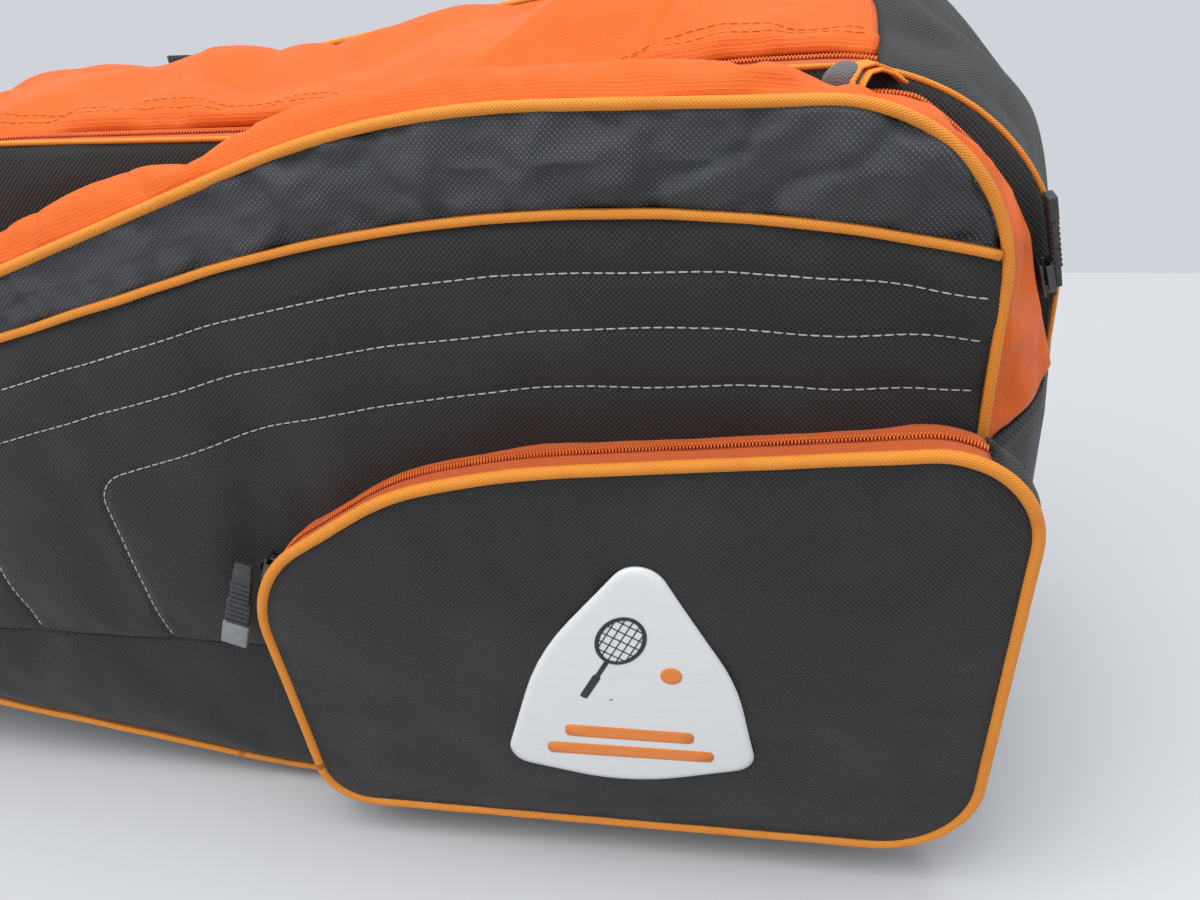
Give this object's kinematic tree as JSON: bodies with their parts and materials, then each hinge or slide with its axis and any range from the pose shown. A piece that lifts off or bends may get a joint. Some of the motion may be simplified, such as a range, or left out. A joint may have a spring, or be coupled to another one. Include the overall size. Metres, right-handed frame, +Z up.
{
  "type": "racket tournament bag",
  "caption": "Long padded racket bag, racket-shaped outline, two zipped racket compartments, zipped front pocket, orange piping, back straps and carry handle.",
  "frame": {"origin": "bottom centre of the bag standing on its long bottom edge", "axes": "+X towards the wide head end, -Y towards the front pocket, +Z up"},
  "size_m": [0.7616, 0.239, 0.3463],
  "materials": {
    "black_fabric": "matte black padded polyester",
    "slate_fabric": "slate black nylon with a fine diagonal dot weave",
    "orange_ripstop": "bright orange ripstop nylon",
    "orange_piping": "orange fabric-covered piping cord",
    "orange_zip": "orange-red woven zip tape and nylon coil",
    "gunmetal": "dark gunmetal die-cast slider",
    "pull_plastic": "dark moulded ribbed plastic",
    "white_badge": null,
    "lining": "grey lining",
    "board": "black stiffener board",
    "webbing": "black woven webbing",
    "air_mesh": "black spacer mesh"
  },
  "bodies": {
    "shell": {"rear_front_wall": "black_fabric", "rear_back_panel": "black_fabric", "rear_front_piping": "orange_piping", "rear_back_piping": "orange_piping", "rear_head_gusset": "black_fabric", "rear_handle_gusset": "black_fabric", "rear_base_panel": "black_fabric", "base_board": "board", "rear_inner_divider": "lining", "rear_zip_tape_wall": "orange_zip", "rear_zip_coil_wall": "orange_zip", "front_bottom_gusset": "black_fabric", "front_zip_coil_wall": "orange_zip", "front_zip_tape_wall": "orange_zip", "handle_anchor_left": "webbing", "handle_anchor_right": "webbing", "strap_anchor_upper": "webbing", "strap_anchor_lower": "webbing", "strap_webbing_upper": "webbing", "strap_webbing_lower": "webbing", "end_loop": "webbing"},
    "front_lid": {"front_main_panel": "black_fabric", "front_upper_band": "slate_fabric", "front_bottom_band": "black_fabric", "front_outer_piping": "orange_piping", "front_band_piping": "orange_piping", "front_top_gusset": "orange_ripstop", "front_head_gusset": "black_fabric", "front_handle_gusset": "black_fabric", "front_zip_tape_lid": "orange_zip", "front_zip_coil_lid": "orange_zip", "pocket_gusset": "black_fabric", "pocket_zip_tape_panel": "orange_zip", "pocket_zip_coil_panel": "orange_zip"},
    "pocket_flap": {"pocket_face": "black_fabric", "pocket_piping": "orange_piping", "pocket_zip_coil_flap": "orange_zip", "pocket_zip_tape_flap": "orange_zip", "badge": "white_badge"},
    "pocket_slider": {"pocket_zip_slider": "gunmetal"},
    "pocket_pull": {"pocket_zip_pull": "pull_plastic"},
    "front_slider_top": {"front_zip_slider_top": "gunmetal"},
    "front_pull_top": {"front_zip_pull_top": "pull_plastic"},
    "front_slider_end": {"front_zip_slider_end": "gunmetal"},
    "front_pull_end": {"front_zip_pull_end": "pull_plastic"},
    "rear_flap": {"rear_top_panel": "orange_ripstop", "rear_zip_coil_flap": "orange_zip", "rear_zip_tape_flap": "orange_zip"},
    "rear_slider": {"rear_zip_slider": "gunmetal"},
    "rear_pull": {"rear_zip_pull": "pull_plastic"},
    "handle": {"carry_handle": "webbing", "handle_grip": "air_mesh"},
    "strap_upper": {"strap_pad_upper": "air_mesh", "ladder_lock_upper": "pull_plastic"},
    "strap_lower": {"strap_pad_lower": "air_mesh", "ladder_lock_lower": "pull_plastic"}
  },
  "joints": [
    {"name": "front_lid_open", "type": "hinge", "parent": "shell", "child": "front_lid", "pos_m": [0.19, -0.087, 0.0105], "axis": [1, 0, 0], "range_deg": [0, 20]},
    {"name": "pocket_open", "type": "hinge", "parent": "front_lid", "child": "pocket_flap", "pos_m": [0.215, -0.119, 0.0188], "axis": [1, 0, 0], "range_deg": [0, 30]},
    {"name": "pocket_slider_run", "type": "hinge", "parent": "pocket_flap", "child": "pocket_slider", "pos_m": [0.11573, -0.1033, 0.12473], "axis": [0, 1, 0], "range_deg": [0, 38]},
    {"name": "pocket_pull_swing", "type": "hinge", "parent": "pocket_slider", "child": "pocket_pull", "pos_m": [0.05891, -0.1088, 0.15103], "axis": [0, 1, 0], "range_deg": [0, 90]},
    {"name": "front_top_slider_run", "type": "slide", "parent": "front_lid", "child": "front_slider_top", "axis": [1, 0, 0], "range_m": [-0.055, 0.012]},
    {"name": "front_top_pull_swing", "type": "hinge", "parent": "front_slider_top", "child": "front_pull_top", "pos_m": [0.262, -0.0495, 0.3238], "axis": [0, 1, 0], "range_deg": [0, 150]},
    {"name": "front_end_slider_run", "type": "slide", "parent": "front_lid", "child": "front_slider_end", "axis": [0.2971, 0, -0.9549], "range_m": [-0.015, 0.015]},
    {"name": "front_end_pull_swing", "type": "hinge", "parent": "front_slider_end", "child": "front_pull_end", "pos_m": [0.36716, -0.0495, 0.25077], "axis": [0, 1, 0], "range_deg": [0, 120]},
    {"name": "rear_flap_open", "type": "hinge", "parent": "shell", "child": "rear_flap", "pos_m": [0.145, 0.0995, 0.3278], "axis": [-0.9884, 0, -0.1516], "range_deg": [0, 75]},
    {"name": "rear_slider_run", "type": "hinge", "parent": "rear_flap", "child": "rear_slider", "pos_m": [-0.03074, -0.03, 0.10324], "axis": [0, 1, 0], "range_deg": [0, 22]},
    {"name": "rear_pull_swing", "type": "hinge", "parent": "rear_slider", "child": "rear_pull", "pos_m": [-0.10668, -0.03, 0.29703], "axis": [0, 1, 0], "range_deg": [0, 150]},
    {"name": "handle_swing", "type": "hinge", "parent": "shell", "child": "handle", "pos_m": [0.055, 0.1127, 0.276], "axis": [1, 0, 0], "range_deg": [0, 165]},
    {"name": "strap_upper_lift", "type": "hinge", "parent": "shell", "child": "strap_upper", "pos_m": [0.23, 0.1095, 0.152], "axis": [0, 0, -1], "range_deg": [0, 60]},
    {"name": "strap_lower_lift", "type": "hinge", "parent": "shell", "child": "strap_lower", "pos_m": [0.23, 0.1095, 0.08], "axis": [0, 0, -1], "range_deg": [0, 60]}
  ]
}
